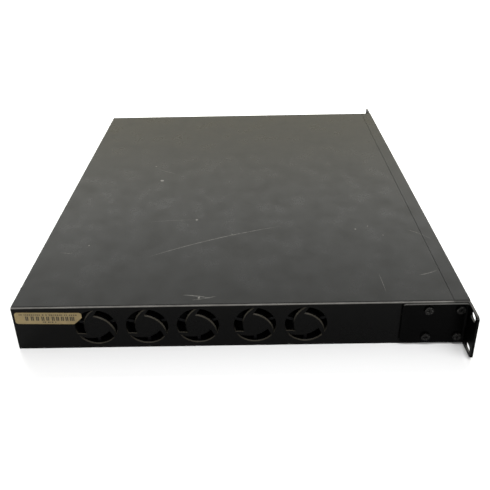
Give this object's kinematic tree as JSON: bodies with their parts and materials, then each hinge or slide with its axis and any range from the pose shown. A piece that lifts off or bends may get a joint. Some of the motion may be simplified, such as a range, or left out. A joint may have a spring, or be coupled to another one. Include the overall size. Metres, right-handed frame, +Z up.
{
  "type": "rackmount network switch",
  "caption": "Low rackmount network switch with a black wraparound cover, swirl fan grilles on one side, front port blocks and slotted rack ears.",
  "frame": {"origin": "on the resting plane, under the middle of the box over all fittings", "axes": "+X to the right when looking at the ports, -Y out of the front panel, +Z up"},
  "size_m": [0.4826, 0.383, 0.0436],
  "materials": {
    "black_paint": "semi-gloss black powder coat",
    "ear_paint": "satin black powder coat",
    "black_screw": "black oxide",
    "zinc_steel": "zinc plated",
    "label": "aged matte film",
    "port_plastic": "moulded",
    "shield_steel": "nickel plated",
    "console_plastic": "moulded",
    "light_pipe": "clear",
    "button_plastic": "moulded",
    "plunger_plastic": "moulded",
    "green_board": "solder mask",
    "tan_board": "laminate",
    "standoff_brass": "machined",
    "bright_screw": "zinc plated",
    "ground_brass": "plated",
    "chip": "moulded epoxy",
    "heatsink": "extruded",
    "insulator": "sheet",
    "magnetics": "varnished",
    "capacitor": "sleeved",
    "inlet_plastic": "moulded",
    "pin_metal": "nickel plated",
    "mains_lead": "insulated wire",
    "dc_lead": "insulated wire",
    "fan_lead": "insulated wire",
    "header_plastic": "moulded nylon",
    "fan_plastic": "moulded",
    "rotor_plastic": "moulded",
    "copper": "enamelled wire"
  },
  "bodies": {
    "chassis": {"top_cover": "black_paint", "front_panel": "black_paint", "rear_blank_plate": "black_paint", "rack_ear_left": "ear_paint", "rack_ear_right": "ear_paint", "ear_screws_left": "black_screw", "ear_screws_right": "black_screw", "panel_screws": "black_screw", "rear_screws": "black_screw", "inlet_screws": "black_screw", "fan_screws": "black_screw", "base_tray": "zinc_steel", "psu_partition": "zinc_steel", "fan_bracket": "zinc_steel", "asset_label": "label", "port_block_a": "port_plastic", "port_block_b": "port_plastic", "sfp_connectors": "port_plastic", "memory_socket": "port_plastic", "mode_switch": "port_plastic", "port_shield_a": "shield_steel", "port_shield_b": "shield_steel", "sfp_cage": "shield_steel", "console_jack": "console_plastic", "port_light_pipes": "light_pipe", "status_light_pipes": "light_pipe", "main_board": "green_board", "memory_module": "green_board", "psu_board": "tan_board", "board_standoffs": "standoff_brass", "board_screws": "bright_screw", "ground_screws": "ground_brass", "switch_chip": "chip", "phy_chips": "chip", "cpu_chip": "chip", "switch_heatsink": "heatsink", "cpu_heatsink": "heatsink", "psu_heatsinks": "heatsink", "psu_insulator": "insulator", "psu_magnetics": "magnetics", "psu_capacitors": "capacitor", "ac_inlet": "inlet_plastic", "inlet_pins": "pin_metal", "inlet_leads": "mains_lead", "dc_leads": "dc_lead", "fan_leads": "fan_lead", "board_headers": "header_plastic", "fan_frame_1": "fan_plastic", "fan_frame_2": "fan_plastic", "fan_frame_3": "fan_plastic", "fan_frame_4": "fan_plastic", "fan_frame_5": "fan_plastic", "fan_stators": "copper"},
    "rotor_1": {"fan_rotor_1": "rotor_plastic"},
    "rotor_2": {"fan_rotor_2": "rotor_plastic"},
    "rotor_3": {"fan_rotor_3": "rotor_plastic"},
    "rotor_4": {"fan_rotor_4": "rotor_plastic"},
    "rotor_5": {"fan_rotor_5": "rotor_plastic"},
    "button": {"mode_button": "button_plastic", "switch_plunger": "plunger_plastic"}
  },
  "joints": [
    {"name": "rotor_1_spin", "type": "hinge", "parent": "chassis", "child": "rotor_1", "pos_m": [-0.2074, 0.1205, 0.022], "axis": [-1, 0, 0], "continuous": true},
    {"name": "rotor_2_spin", "type": "hinge", "parent": "chassis", "child": "rotor_2", "pos_m": [-0.2074, 0.0776, 0.022], "axis": [-1, 0, 0], "continuous": true},
    {"name": "rotor_3_spin", "type": "hinge", "parent": "chassis", "child": "rotor_3", "pos_m": [-0.2074, 0.0347, 0.022], "axis": [-1, 0, 0], "continuous": true},
    {"name": "rotor_4_spin", "type": "hinge", "parent": "chassis", "child": "rotor_4", "pos_m": [-0.2074, -0.0133, 0.022], "axis": [-1, 0, 0], "continuous": true},
    {"name": "rotor_5_spin", "type": "hinge", "parent": "chassis", "child": "rotor_5", "pos_m": [-0.2074, -0.0562, 0.022], "axis": [-1, 0, 0], "continuous": true},
    {"name": "mode_button_press", "type": "slide", "parent": "chassis", "child": "button", "axis": [0, 1, 0], "range_m": [0, 0.0008], "stiffness_N_per_m": 1500}
  ]
}
